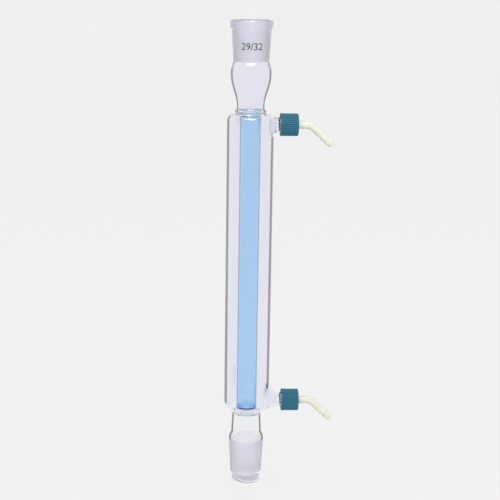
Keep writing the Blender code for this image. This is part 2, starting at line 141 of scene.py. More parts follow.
inside += [(r - BARREL_WALL, z) for r, z in barrel if z < neck_top - THROAT_LENGTH]
throat_start = len(inside)
inside += drawn(inside[-1], (TUBE_BORE, FUNNEL_TOP - THROAT_LAND), 14, bell)
funnel_start = len(inside)
inside += [(TUBE_BORE, FUNNEL_TOP), (TUBE_RADIUS, FUNNEL_TOP)]
groove = FUNNEL_RADIUS + GROOVE_ROUND
rest = (groove - SHOULDER_BORE + GROOVE_ROUND * math.hypot(1, SHOULDER_SLOPE)) / SHOULDER_SLOPE
inside += drawn((TUBE_RADIUS, FUNNEL_TOP), (FUNNEL_RADIUS, jacket_low.z + rest), 10, bell)
inside += arc((groove, jacket_low.z + rest), GROOVE_ROUND, 180, 360 - SHOULDER_LEAN, 8)[1:]

# Jacket: a blown tube of clear glass round the inner tube, with a round upper shoulder and a conical
# lower one, fused to the necks at both ends. Cooling water fills the space inside.
JACKET_RADIUS = -jacket_low.x
JACKET_WALL = 1.8
LOWER_SHOULDER_RADIUS = 6.5
UPPER_FLAT = 12.95
OUTER_RIM_RISE = 0.95
INNER_RIM_RISE = 2.2
FOOT = 10.2
LOWER_FOOT_ROOM = 1.75 * FOOT
UPPER_FOOT_ROOM = 1.35 * FOOT
arm_ends = {}
for joint in frame["joints"]:
    if joint["name"].endswith("_connector_swivel"):
        arm_ends[joint["name"].split("_")[0]] = Vector(joint["pos_m"]) / MM


def jacket_side(wall):
    """Outline of the jacket from its lower to its upper rim, set in by a wall."""
    body = JACKET_RADIUS - wall
    low = jacket_low.z + (INNER_RIM_RISE if wall else OUTER_RIM_RISE)
    rim = (SHOULDER_BORE if wall else SEAT_RADIUS) + SHOULDER_SLOPE * (low - jacket_low.z)
    bend = LOWER_SHOULDER_RADIUS - wall
    lean = math.radians(SHOULDER_LEAN)
    corner = low + (body - rim) / math.tan(lean)
    reach = bend * math.tan(lean / 2)
    side = [(rim, low)]
    side += drawn(side[0], (body - reach * math.sin(lean), corner - reach * math.cos(lean)), 6)
    side += arc((body - bend, corner + reach), bend, -SHOULDER_LEAN, 0, 9)[1:]
    side += drawn(side[-1], (body, arm_ends["lower"].z + LOWER_FOOT_ROOM), 12)
    side += drawn(side[-1], (body, arm_ends["upper"].z - UPPER_FOOT_ROOM), 12)
    dome = body - UPPER_FLAT
    spring = jacket_high.z - wall - dome
    side += drawn(side[-1], (body, spring), 12)
    side += arc((UPPER_FLAT, spring), dome, 0, 90, 14)[1:]
    return side


skins = {}
for path, wall in ((outside, 0.0), (inside, JACKET_WALL)):
    skins[wall] = (len(path), jacket_side(wall))
    path += skins[wall][1]

# Upper neck: a collar of thick clear glass, melted so that it seals jacket and inner tube together. Above
# it the neck is blown like a vase up to the socket.
vase_low, vase_high = (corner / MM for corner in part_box("upper_neck"))
socket_low, socket_high = (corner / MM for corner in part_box("socket_joint"))
COLLAR_RADIUS = 12.9
COLLAR_BEAD = 0.8
COLLAR_RISE = 0.75
COLLAR_START = -62
COLLAR_FILLET = 2.2
WEB_THICKNESS = 1.6
WEB_FILLET = 1.2
WEB_LIP = 0.4
SEAL_FILLET = 0.5
SEAL_LAND = 0.1
NECK_RADIUS = 11.35
NECK_WALL = 1.6
NECK_STRAIGHT = 4.7
BULGE_RADIUS = vase_high.y
BULGE_DROP = 8.7
BULGE_LEAN = 1.15
WAIST_RADIUS = 14.6
collar = (COLLAR_RADIUS - COLLAR_BEAD, vase_low.z + COLLAR_RISE)
reach = COLLAR_BEAD + COLLAR_FILLET
lift = math.degrees(math.acos((NECK_RADIUS + COLLAR_FILLET - collar[0]) / reach))
top = collar[1] + reach * math.sin(math.radians(lift))

outside += arc(collar, COLLAR_BEAD, COLLAR_START, lift, 10)
outside += arc((NECK_RADIUS + COLLAR_FILLET, top), COLLAR_FILLET, 180 + lift, 180, 6)[1:]
vase = drawn(outside[-1], (NECK_RADIUS, vase_low.z + NECK_STRAIGHT), 3)
bulge = (BULGE_RADIUS, socket_low.z - BULGE_DROP)
vase += drawn(vase[-1], bulge, 26, lambda s: 1 - bell((1 - s) ** BULGE_LEAN))
vase += drawn(bulge, (WAIST_RADIUS, socket_low.z), 12, flare)
outside += vase

web = vase_low.z + WEB_THICKNESS
seal_low = tube_high.z - SEAL_FILLET
under = inside[-1]
inward = TUBE_RADIUS + SEAL_FILLET - under[0]
for share in np.linspace(0.0, 1.0, 9)[1:-1]:
    inside.append((under[0] + inward * share, under[1] + (tube_high.z - under[1]) * bell(share)))
seal_start = len(inside)
inside += arc((TUBE_RADIUS + SEAL_FILLET, seal_low), SEAL_FILLET, 90, 180, 6)
inside += [(TUBE_RADIUS, seal_low - SEAL_LAND), (TUBE_BORE, seal_low - SEAL_LAND)]
inside += drawn(inside[-1], (TUBE_BORE, web - WEB_LIP), 4)
seal_end = len(inside)
inside += arc((TUBE_BORE + WEB_LIP, web - WEB_LIP), WEB_LIP, 180, 90, 3)[1:]
inside += arc((NECK_RADIUS - NECK_WALL - WEB_FILLET, web + WEB_FILLET), WEB_FILLET, -90, 0, 6)
fillet_top = inside[-1][1]
inside += [(r - NECK_WALL, z) for r, z in vase if z > fillet_top + 0.1]

# Ground socket: the upper end of the glass, ground inside to the same taper and plain outside, with a
# heavy bead round its mouth that is rounded in the flame.
SOCKET_LIP = 1.0
SOCKET_BORE = CONE_LARGE
RIM = socket_high.z
BEAD_RADIUS = socket_high.y
BEAD_HEIGHT = 7.0
BEAD_ROUND = 1.8
BEAD_FOOT = RIM - BEAD_HEIGHT - 1.4
BEAD_START = RIM - BEAD_HEIGHT + 1.2
MOUTH_ROUND = 0.8
SOCKET_BODY = 15.87

outside += drawn(outside[-1], (SOCKET_BODY, BEAD_FOOT), 10)
outside += drawn(outside[-1], (BEAD_RADIUS, BEAD_START), 8, bell)
outside += drawn(outside[-1], (BEAD_RADIUS, RIM - BEAD_ROUND), 4)
outside += arc((BEAD_RADIUS - BEAD_ROUND, RIM - BEAD_ROUND), BEAD_ROUND, 0, 90, 7)[1:]
inside += drawn(inside[-1], (SOCKET_BORE, RIM - SOCKET_LIP), 12)
inside += arc((SOCKET_BORE + MOUTH_ROUND, RIM - MOUTH_ROUND), MOUTH_ROUND, 180, 90, 5)

# Side arms: two short glass tubes pulled out of the jacket's wall in the flame, each ending in a moulded
# nozzle with a round right-hand screw thread of 2.5 mm pitch for its cap.
ARM_RADIUS = 5.5
ARM_BORE = 4.0
ARM_COLUMNS = 20
TURNS = 144
NOZZLE_LENGTH = 10.5
NOZZLE_CORE = 5.85
NOZZLE_STEP = (-9.4, -8.2)
NOZZLE_ROUND = 0.6
NOZZLE_LIP = 0.4
THREAD_PITCH = 2.5
THREAD_HEIGHT = 1.05
THREAD_HALF = 0.34
THREAD_FLANK = 0.2
THREAD_RUN_IN = (-10.1, -8.8)
THREAD_RUN_OUT = (-1.9, -0.8)
THREAD_STATION = 0.2
FOOT_LEAD = (0.25, 0.5, 0.75)
FOOT_RINGS = 15
FOOT_TANGENT = 0.95
FOOT_TRIM = 1.3
TRIM_WALL = {"lower": 0.8, "upper": 0.5}
FOOT_STRETCH = {"lower": 4.0, "upper": 0.6}
FOOT_WALL = {"lower": 0.2, "upper": 1.0}
FOOT_BREADTH = {"lower": 2.9, "upper": 0.0}
FOOT_PULL = 0.75
ARM_PULL = 0.9


def thread_ridge(along, turn):
    """Share of the thread's height at a place on the screw, 0 in the root and 1 on the crest."""
    phase = (along - THREAD_PITCH * turn / (2 * math.pi)) / THREAD_PITCH
    away = abs(phase - round(phase))
    return min(max((THREAD_HALF - away) / THREAD_FLANK, 0.0), 1.0)


def ramp(value, start, end):
    """A smooth step from 0 at start to 1 at end."""
    share = min(max((value - start) / (end - start), 0.0), 1.0)
    return share * share * (3 - 2 * share)


def foot_rings(side, loop, level, wall):
    """Rings of points from a window in the jacket to the end of the pulled arm, and their turns."""
    r_all = np.array([p[0] for p in side])
    z_all = np.array([p[1] for p in side])
    run = np.concatenate([[0.0], np.cumsum(np.hypot(np.diff(r_all), np.diff(z_all)))])
    arm = arm_ends[level]
    upper = level == "upper"
    near_end = FOOT_TRIM + TRIM_WALL[level] * wall

    def foot_out(rise):
        trimmed = (rise > 0) == upper
        reach = FOOT - FOOT_WALL[level] * wall
        reach += FOOT_BREADTH[level] * (1 - rise * rise)
        return reach - (near_end if trimmed else -FOOT_STRETCH[level]) * rise * rise

    def on_side(turn, out):
        along = float(np.interp(arm.z + out * math.sin(turn), z_all, run))
        return math.asin(out * math.cos(turn) / float(np.interp(along, run, r_all))), along

    def at(angle, along):
        r = float(np.interp(along, run, r_all))
        z = float(np.interp(along, run, z_all))
        return Vector((r * math.cos(angle), r * math.sin(angle), z))

    radius = ARM_BORE if wall else ARM_RADIUS
    columns = []
    turns = []
    for row, column in loop:
        angle = 2 * math.pi * column / TURNS
        turn = math.atan2(z_all[row] - arm.z, r_all[row] * math.sin(angle))
        out = foot_out(math.sin(turn))
        far = on_side(turn, out)
        points = []
        for share in FOOT_LEAD:
            along = run[row] + (far[1] - run[row]) * share
            points.append(at(angle + (far[0] - angle) * share, along))
        foot = at(*far)
        lean = (at(*on_side(turn, FOOT_TANGENT * out)) - foot).normalized()
        rim = (radius * math.cos(turn), arm.z + radius * math.sin(turn))
        end = Vector((arm.x - NOZZLE_LENGTH, *rim))
        span = (end - foot).length
        for s in np.linspace(0.0, 1.0, FOOT_RINGS):
            place = foot * (2 * s**3 - 3 * s**2 + 1) + end * (3 * s**2 - 2 * s**3)
            place += lean * ((s**3 - 2 * s**2 + s) * FOOT_PULL * span)
            points.append(place + Vector(((s**3 - s**2) * ARM_PULL * span, 0.0, 0.0)))
        columns.append(points)
        turns.append(turn)
    return [list(ring) for ring in zip(*columns)], turns


def nozzle_rings(arm, outer_turns, bore_turns):
    """Points along the screwed nozzle, round its fire-polished end and back down the bore."""
    stations = []
    for along in np.arange(-NOZZLE_LENGTH + THREAD_STATION, -NOZZLE_ROUND, THREAD_STATION):
        core = ARM_RADIUS + (NOZZLE_CORE - ARM_RADIUS) * ramp(along, *NOZZLE_STEP)
        height = THREAD_HEIGHT * ramp(along, *THREAD_RUN_IN) * (1 - ramp(along, *THREAD_RUN_OUT))
        stations.append((along, core, height, 0.0))
    end = arc((NOZZLE_CORE - NOZZLE_ROUND, -NOZZLE_ROUND), NOZZLE_ROUND, 0, 90, 5)
    end += arc((ARM_BORE + NOZZLE_LIP, -NOZZLE_LIP), NOZZLE_LIP, 90, 180, 4)
    stations += [(along, r, 0.0, 0.0) for r, along in end]
    for share in (0.2, 0.4, 0.6, 0.8):
        along = -NOZZLE_LIP + (NOZZLE_LIP - NOZZLE_LENGTH) * share
        stations.append((along, ARM_BORE, 0.0, share))
    rings = []
    for along, radius, height, share in stations:
        ring = []
        for outer, bore in zip(outer_turns, bore_turns):
            turn = outer + (bore - outer) * share
            r = radius + height * thread_ridge(along, turn)
            ring.append(Vector((arm.x + along, r * math.cos(turn), arm.z + r * math.sin(turn))))
        rings.append(ring)
    return rings


# Fused glass: all the stretches above are one piece of borosilicate, melted together in the flame. They
# are spun here as one closed skin, with a finish for each stretch and frost on the ground tapers.
CLEAR_TINT = (0.93, 0.93, 0.985, 1.0)
# Edge colours below are painted light and shade by how the glass faces the eye; the dark ones stand in
# for the dark surroundings seen through the glass's edges.
CLEAR_EDGE_SHADE = (0.006, 0.006, 0.016, 1.0)
SHOULDER_EDGE_SHADE = (0.55, 0.55, 0.63, 1.0)
TURN_EDGE_SHADE = (0.12, 0.12, 0.16, 1.0)
NECK_TINT = (0.985, 0.985, 1.0, 1.0)
NECK_EDGE_SHADE = (0.02, 0.02, 0.03, 1.0)
GROUND_TINT = (0.92, 0.905, 1.0, 1.0)
GROUND_EDGE_LIGHT = (1.0, 1.0, 1.0, 1.0)
SOCKET_TURN_SHADE = (0.82, 0.81, 0.88, 1.0)
SOCKET_EDGE_SHADE = (0.52, 0.51, 0.58, 1.0)
# Painted shade: the drip tip's clear glass is painted a darker lavender grey.
TIP_SHADE = (0.36, 0.36, 0.45, 1.0)
BLUE_TINT = (0.66, 0.87, 1.0, 1.0)
FUNNEL_TINT = (0.12, 0.28, 0.62, 1.0)
# Painted shade: the clear throat under the inner tube is painted a deeper blue where it is seen at a
# slant, standing in for the blue tube seen through it.
THROAT_BLUE_SHADE = (0.26, 0.50, 0.96, 1.0)
EDGE_SHADE_TURNS = (0.48, 0.57, 0.77, 0.89)
THROAT_TURNS = (0.13, 0.25)
BORO_INDEX = 1.473
GLOSS_INDEX = 1.6
GLOSS_ROUGHNESS = 0.02
NOISE_SPAN = (0.3, 0.7)
MOUTH_BAND = 0.25 * BEAD_ROUND
SEAL_ROWS = 5
WINDOW_MARGIN = 1.5
FOOT_CLEAR_END = 13
UNDERSIDE = -0.12
SHOULDER_BEND = 0.2
SHOULDER_TOP = 0.6
WALL, CLEAR, GROUND, SOCKET_SIDE, BLUE_SEAL, DRIP_TIP = range(6)
SHOULDER, NECK_SIDE, NECK_BORE, THROAT, SHOULDER_TURN, LOWER_SEAL = range(6, 12)


def skinned(bm, rings, finish=0):
    """Quads between each ring of points and the next."""
    for first, second in zip(rings, rings[1:]):
        for k in range(len(first)):
            face = bm.faces.new((first[k - 1], first[k], second[k], second[k - 1]))
            face.material_index = finish


def finish_of(row, middle):
    """Which of the glass finishes a row of the skin has."""
    if row < len(outside) - 1:
        if middle < -CONE_GROUND:
            return SHOULDER
        if middle < 0:
            return GROUND
        if middle < seat_low[1]:
            return NECK_SIDE
        if middle > RIM - MOUTH_BAND:
            return CLEAR
        return SOCKET_SIDE if middle > socket_low.z else WALL
    # The drip tip is painted darker as shade, and a band near its end is left clear to show as a painted
    # highlight streak.
    if middle < -CONE_GROUND:
        streak = TIP_END + FIRE_POLISH < middle < TIP_END + TIP_HIGHLIGHT_STREAK
        return CLEAR if streak or middle > -CONE_GROUND - TIP_STEP else DRIP_TIP
    back = len(outside) + len(inside) - 1 - row
    if throat_start <= back < funnel_start and middle > FUNNEL_TOP - THROAT_DEPTH:
        return THROAT
    if middle < FUNNEL_TOP and not funnel_start <= back < funnel_start + SEAL_ROWS:
        return NECK_BORE
    if socket_low.z < middle < RIM - SOCKET_LIP:
        return GROUND
    if funnel_start < back < funnel_start + SEAL_ROWS:
        return LOWER_SEAL
    if seal_start < back < seal_end:
        return BLUE_SEAL
    return CLEAR


def as_piece(bm, name, *finishes, sharp=32):
    """The closed form in bm as a piece in metres, facing out, with smooth round sides."""
    bmesh.ops.recalc_face_normals(bm, faces=bm.faces)
    bmesh.ops.scale(bm, vec=(MM, MM, MM), verts=bm.verts)
    mesh = bpy.data.meshes.new(name)
    bm.to_mesh(mesh)
    bm.free()
    for finish in finishes:
        mesh.materials.append(finish)
    mesh.shade_smooth()
    mesh.set_sharp_from_angle(angle=math.radians(sharp))
    piece = bpy.data.objects.new(name, mesh)
    bpy.context.scene.collection.objects.link(piece)
    return piece


def fused_glass():
    """The glass as one skin: the outline spun round, less a window at each arm, with the arms sewn in."""
    outline = outside + inside[::-1]
    count = len(outline)
    tip_top = -CONE_GROUND - TIP_STEP
    tip_rows = {k for k, (r, z) in enumerate(outline) if z < tip_top}
    rows = {}
    for wall, (start, side) in skins.items():
        for k in range(len(side)):
            rows[wall, k] = start + k if not wall else count - 1 - start - k
    side = skins[0.0][1]
    last = len(side) - 1
    straight = [k for k in range(last) if side[k][0] == side[k + 1][0]]
    low_edge = arm_ends["lower"].z + FOOT + FOOT_STRETCH["lower"] + WINDOW_MARGIN
    low_end = next(k for k in straight if side[k][1] > low_edge)
    high_edge = arm_ends["upper"].z - FOOT - WINDOW_MARGIN
    high_start = [k for k in straight if side[k][1] < high_edge][-1]
    windows = {"lower": (0, low_end), "upper": (high_start, last)}
    open_rows = set()
    for wall in skins:
        for first, final in windows.values():
            ends = (rows[wall, first], rows[wall, final])
            open_rows.update(range(min(ends), max(ends)))
    bm = bmesh.new()
    verts = {}

    def vert(row, column):
        key = (row % count, column % TURNS)
        if key not in verts:
            angle = 2 * math.pi * key[1] / TURNS
            r, z = outline[key[0]]
            if key[0] in tip_rows:
                share = (tip_top - z) / (tip_top - TIP_END)
                low_side = math.cos(angle - TIP_LOW_SIDE)
                z -= share * TIP_SLANT / 2 * r / TIP_RADIUS * low_side
                if key[0] >= len(outside):
                    z += share * TIP_BEVEL * (1 - low_side) / 2
            verts[key] = bm.verts.new((r * math.cos(angle), r * math.sin(angle), z))
        return verts[key]

    for row in range(count):
        middle = (outline[row][1] + outline[(row + 1) % count][1]) / 2
        start = ARM_COLUMNS if row in open_rows else -ARM_COLUMNS
        for column in range(start, TURNS - ARM_COLUMNS):
            corners = ((row, column), (row, column + 1), (row + 1, column + 1), (row + 1, column))
            bm.faces.new([vert(*corner) for corner in corners]).material_index = finish_of(row, middle)
    for level, (first, final) in windows.items():
        columns = range(-ARM_COLUMNS, ARM_COLUMNS)
        loop = [(first, c) for c in columns]
        loop += [(row, ARM_COLUMNS) for row in range(first, final)]
        loop += [(final, -c) for c in columns]
        loop += [(row, -ARM_COLUMNS) for row in range(final, first, -1)]
        rings = {}
        turns = {}
        for wall, (start, side) in skins.items():
            points, turns[wall] = foot_rings(side, loop, level, wall)
            rings[wall] = [[vert(rows[wall, row], column) for row, column in loop]]
            rings[wall] += [[bm.verts.new(p) for p in ring] for ring in points]
        nozzle = nozzle_rings(arm_ends[level], turns[0.0], turns[JACKET_WALL])
        nozzle = [[bm.verts.new(p) for p in ring] for ring in nozzle]
        lead = len(FOOT_LEAD)
        # The rings on the jacket, and on the upper arm the rings next to its nozzle, take the painted
        # edge shade; the rest of each arm stays clear.
        skinned(bm, rings[0.0][: lead + 1], WALL)
        skinned(bm, rings[0.0][lead : FOOT_CLEAR_END + 1], CLEAR)
        skinned(bm, rings[0.0][FOOT_CLEAR_END:] + nozzle[:1], WALL if level == "upper" else CLEAR)
        skinned(bm, nozzle + rings[JACKET_WALL][::-1], CLEAR)
    bmesh.ops.recalc_face_normals(bm, faces=bm.faces)
    # Painted edge shade set by tilt: wall faces that turn up take the lighter painted edge shade of the
    # shoulder, and those that turn down below the lower arm take none.
    for face in bm.faces:
        middle = face.calc_center_median()
        if face.material_index == WALL and middle.x < JACKET_RADIUS:
            if face.normal.z < UNDERSIDE and middle.z < arm_ends["lower"].z:
                face.material_index = NECK_BORE if middle.z < FUNNEL_TOP else CLEAR
            elif face.normal.z > SHOULDER_BEND:
                face.material_index = SHOULDER if face.normal.z > SHOULDER_TOP else SHOULDER_TURN
    return bm


def finish_nodes(name):
    """A new finish with its nodes, links and shader."""
    made = bpy.data.materials.new(name)
    made.use_nodes = True
    return made, made.node_tree.nodes, made.node_tree.links, made.node_tree.nodes["Principled BSDF"]


def grain_on(nodes, links, scale, stretch=(1.0, 1.0, 1.0), detail=3.0):
    """A noise over the piece in its own coordinates, stretched along its axes."""
    place = nodes.new("ShaderNodeTexCoord")
    mapping = nodes.new("ShaderNodeMapping")
    mapping.inputs["Scale"].default_value = stretch
    noise = nodes.new("ShaderNodeTexNoise")
    noise.inputs["Scale"].default_value = scale
    noise.inputs["Detail"].default_value = detail
    links.new(place.outputs["Object"], mapping.inputs["Vector"])
    links.new(mapping.outputs["Vector"], noise.inputs["Vector"])
    return noise.outputs["Fac"]


def bumped(nodes, links, shader, height, strength, depth):
    """Raises the surface by a noise, depth in metres."""
    bump = nodes.new("ShaderNodeBump")
    bump.inputs["Strength"].default_value = strength
    bump.inputs["Distance"].default_value = depth
    links.new(height, bump.inputs["Height"])
    links.new(bump.outputs["Normal"], shader.inputs["Normal"])


def roughened(nodes, links, shader, noise, low, high):
    """Lets a noise drive the roughness between two values."""
    span = nodes.new("ShaderNodeMapRange")
    span.inputs["From Min"].default_value, span.inputs["From Max"].default_value = NOISE_SPAN
    span.inputs["To Min"].default_value = low
    span.inputs["To Max"].default_value = high
    links.new(noise, span.inputs["Value"])
    links.new(span.outputs["Result"], shader.inputs["Roughness"])


def painted_facing_light_and_shade(nodes, links, shader, first, *later):
    """Paints light and shade into the glass's tint by how it faces the eye: the tint at each share of the
    turn from the eye. Dark tints stand in for the dark surroundings seen through the glass's edges.
    """
    facing = nodes.new("ShaderNodeLayerWeight")
    facing.inputs["Blend"].default_value = 0.5
    turn = nodes.new("ShaderNodeValToRGB")
    stops = turn.color_ramp.elements
    stops.remove(stops[1])
    stops[0].position, stops[0].color = first
    for share, tint in later:
        stops.new(share).color = tint
    links.new(facing.outputs["Facing"], turn.inputs["Fac"])
    links.new(turn.outputs["Color"], shader.inputs["Base Color"])


def deepened(nodes, links, shader, tint, start, end):
    """Deepens the glass's colour by a tint that comes in from one height of the piece to another."""
    place = nodes.new("ShaderNodeTexCoord")
    height = nodes.new("ShaderNodeSeparateXYZ")
    share = nodes.new("ShaderNodeMapRange")
    share.inputs["From Min"].default_value = start * MM
    share.inputs["From Max"].default_value = end * MM
    mixed = nodes.new("ShaderNodeMix")
    mixed.data_type = "RGBA"
    mixed.blend_type = "MULTIPLY"
    colour = shader.inputs["Base Color"]
    mixed.inputs["A"].default_value = colour.default_value
    mixed.inputs["B"].default_value = tint
    if colour.is_linked:
        links.new(colour.links[0].from_socket, mixed.inputs["A"])
    links.new(place.outputs["Object"], height.inputs["Vector"])
    links.new(height.outputs["Z"], share.inputs["Value"])
    links.new(share.outputs["Result"], mixed.inputs["Factor"])
    links.new(mixed.outputs["Result"], colour)


def fire_polished(shader):
    """The bright gloss of a surface that the flame has smoothed."""
    shader.inputs["Coat Weight"].default_value = 1.0
    shader.inputs["Coat IOR"].default_value = GLOSS_INDEX
    shader.inputs["Coat Roughness"].default_value = GLOSS_ROUGHNESS


def glass_nodes(name):
    """The nodes of a finish that lets light through as borosilicate does."""
    made, nodes, links, shader = finish_nodes(name)
    shader.inputs["Transmission Weight"].default_value = 1.0
    shader.inputs["IOR"].default_value = BORO_INDEX
    return made, nodes, links, shader


def clear_glass(name, tint, edge=None, deep=None, low=None, gloss=False):
    """Clear glass with faint lines along its draw. Its tint can take painted shade at the edge, a painted
    deeper tint by the turn from the eye where deep, and a deeper tint between two heights where low.
    """
    made, nodes, links, shader = glass_nodes(name)
    shader.inputs["Base Color"].default_value = tint
    if edge:
        painted_facing_light_and_shade(nodes, links, shader, *zip(EDGE_SHADE_TURNS, (tint, edge, edge, tint)))
    if deep:
        turns, deep_tint = deep
        painted_facing_light_and_shade(nodes, links, shader, *zip(turns, (tint, deep_tint)))
    if low:
        deepened(nodes, links, shader, *low)
    if gloss:
        fire_polished(shader)
    draw_lines = grain_on(nodes, links, scale=60.0, stretch=(1.0, 1.0, 0.05))
    bumped(nodes, links, shader, draw_lines, strength=0.0007, depth=0.0004)
    roughened(nodes, links, shader, draw_lines, low=0.0, high=0.02)
    return made


def ground_glass():
    """Glass frosted by the grinding of the taper, painted lighter where it is seen edge on: painted light
    that takes its tint away.
    """
    made, nodes, links, shader = glass_nodes("ground_glass")
    painted_facing_light_and_shade(nodes, links, shader, (0.35, GROUND_TINT), (0.75, GROUND_EDGE_LIGHT))
    grit = grain_on(nodes, links, scale=2600.0, detail=4.0)
    bumped(nodes, links, shader, grit, strength=0.3, depth=0.0001)
    roughened(nodes, links, shader, grit, low=0.45, high=0.65)
    return made


def socket_side():
    """The socket's plain outside, a little rippled, darkened by painted shade where it is seen edge on.
    """
    made, nodes, links, shader = glass_nodes("socket_side")
    painted_facing_light_and_shade(nodes, links, shader, (0.04, CLEAR_TINT), (0.3, SOCKET_TURN_SHADE), (0.85, SOCKET_EDGE_SHADE))
    fire_polished(shader)
    ripple = grain_on(nodes, links, scale=240.0)
    bumped(nodes, links, shader, ripple, strength=0.02, depth=0.0004)
    roughened(nodes, links, shader, ripple, low=0.06, high=0.1)
    return made


glass = as_piece(
    fused_glass(),
    "fused_glass",
    clear_glass("clear_glass", CLEAR_TINT, CLEAR_EDGE_SHADE, gloss=True),
    clear_glass("clear_glass_inside", CLEAR_TINT),
    ground_glass(),
    socket_side(),
    clear_glass("blue_glass_seal", BLUE_TINT),
    clear_glass("drip_tip_shaded_glass", TIP_SHADE),
    clear_glass("shoulder_glass", CLEAR_TINT, SHOULDER_EDGE_SHADE, gloss=True),
    clear_glass("neck_glass", NECK_TINT, NECK_EDGE_SHADE),
    clear_glass("neck_glass_inside", NECK_TINT),
    clear_glass("throat_glass_blue_shade", NECK_TINT, deep=(THROAT_TURNS, THROAT_BLUE_SHADE)),
    clear_glass("shoulder_turn_glass", CLEAR_TINT, TURN_EDGE_SHADE, gloss=True),
    clear_glass("blue_glass_funnel", FUNNEL_TINT),
)
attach(glass, "glass")
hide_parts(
    "socket_joint",
    "upper_neck",
    "jacket",
    "lower_neck",
    "cone_joint",
    "upper_side_arm",
    "lower_side_arm",
)

# Inner tube: a plain drawn tube of pale blue glass, sealed into the collar above and onto the funnel
# below, whose seal is a deeper blue. Its blue deepens towards its lower end and in a band round its top
# end; painted shade darkens its edges and draws a dark line round its lower end where these are seen
# edge on. Vapour condenses inside it while water runs past outside.
TUBE_ROUND = 0.12
TUBE_END = 1.7
TUBE_TAPER = 0.8
TUBE_GAP = 0.04
END_RADIUS = TUBE_RADIUS - TUBE_TAPER - 0.1
TUBE_SIDE, TUBE_INSIDE, TUBE_TOP, TUBE_SEAM = range(4)
# The edge and seam colours below are painted shade: dark lines where the tube and its lower end are seen
# edge on.
BLUE_EDGE_SHADE = (0.13, 0.18, 0.25, 1.0)
BLUE_END = (0.14, 0.29, 0.56, 1.0)
BLUE_SEAM_SHADE = (0.004, 0.02, 0.11, 1.0)
SEAM_TURNS = (0.11, 0.2)
BLUE_LOW = (0.4, 0.72, 1.0, 1.0)
LOW_START = FUNNEL_TOP + 5.5
LOW_END = FUNNEL_TOP + 0.5
SEAM_TINT = (0.5, 0.76, 1.0, 1.0)


def inner_tube():
    low = FUNNEL_TOP + TUBE_GAP
    high = seal_low - SEAL_LAND - TUBE_GAP
    outer = arc((TUBE_RADIUS - TUBE_TAPER - TUBE_ROUND, low + TUBE_ROUND), TUBE_ROUND, -90, 0, 3)
    outer += drawn(outer[-1], (TUBE_RADIUS, low + TUBE_END), 3)
    outer += drawn(outer[-1], (TUBE_RADIUS, high - TUBE_END), 24)
    outer += drawn(outer[-1], (TUBE_RADIUS, high - TUBE_ROUND), 2)
    outer += arc((TUBE_RADIUS - TUBE_ROUND, high - TUBE_ROUND), TUBE_ROUND, 0, 90, 3)[1:]
    bore = arc((TUBE_BORE + TUBE_ROUND, low + TUBE_ROUND), TUBE_ROUND, -90, -180, 3)
    bore += drawn(bore[-1], (TUBE_BORE, high - TUBE_ROUND), 24)
    bore += arc((TUBE_BORE + TUBE_ROUND, high - TUBE_ROUND), TUBE_ROUND, 180, 90, 3)[1:]
    bm = bmesh.new()
    turns = [2 * math.pi * column / TURNS for column in range(TURNS)]
    rings = []
    for r, z in outer + bore[::-1]:
        rings.append([bm.verts.new((r * math.cos(a), r * math.sin(a), z)) for a in turns])
    skinned(bm, rings[: len(outer)], TUBE_SIDE)
    skinned(bm, rings[len(outer) - 1 :] + rings[:1], TUBE_INSIDE)
    for face in bm.faces:
        middle = face.calc_center_median()
        if middle.xy.length > END_RADIUS:
            if middle.z > high - TUBE_END:
                face.material_index = TUBE_TOP
            elif middle.z < low + TUBE_END:
                face.material_index = TUBE_SEAM
    return bm


tube = as_piece(
    inner_tube(),
    "blue_inner_tube",
    clear_glass("blue_glass", BLUE_TINT, BLUE_EDGE_SHADE, low=(BLUE_LOW, LOW_START, LOW_END)),
    clear_glass("blue_glass_inside", BLUE_TINT, low=(BLUE_LOW, LOW_START, LOW_END)),
    clear_glass("blue_glass_end", BLUE_END),
    clear_glass("blue_glass_seam_shade", SEAM_TINT, deep=(SEAM_TURNS, BLUE_SEAM_SHADE)),
    sharp=20,
)
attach(tube, "glass")
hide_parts("inner_tube")

# Joint size: the plain numbers of the standard taper on the socket's front. They are green enamel,
# printed on the glass and fired so that they melt onto it.
SIZE_NUMBERS = "29/32"
NUMBER_HEIGHT = 5.4
NUMBER_MIDDLE = RIM - 20.5
NUMBER_STROKE = 0.1
FIGURE_SHARE = 0.7
LONG_EDGE = 0.8
ENAMEL_THICKNESS = 0.06
ENAMEL_SINK = 0.005
ENAMEL_GREEN = (0.075, 0.115, 0.07)
ENAMEL_MOTTLE = 1.35


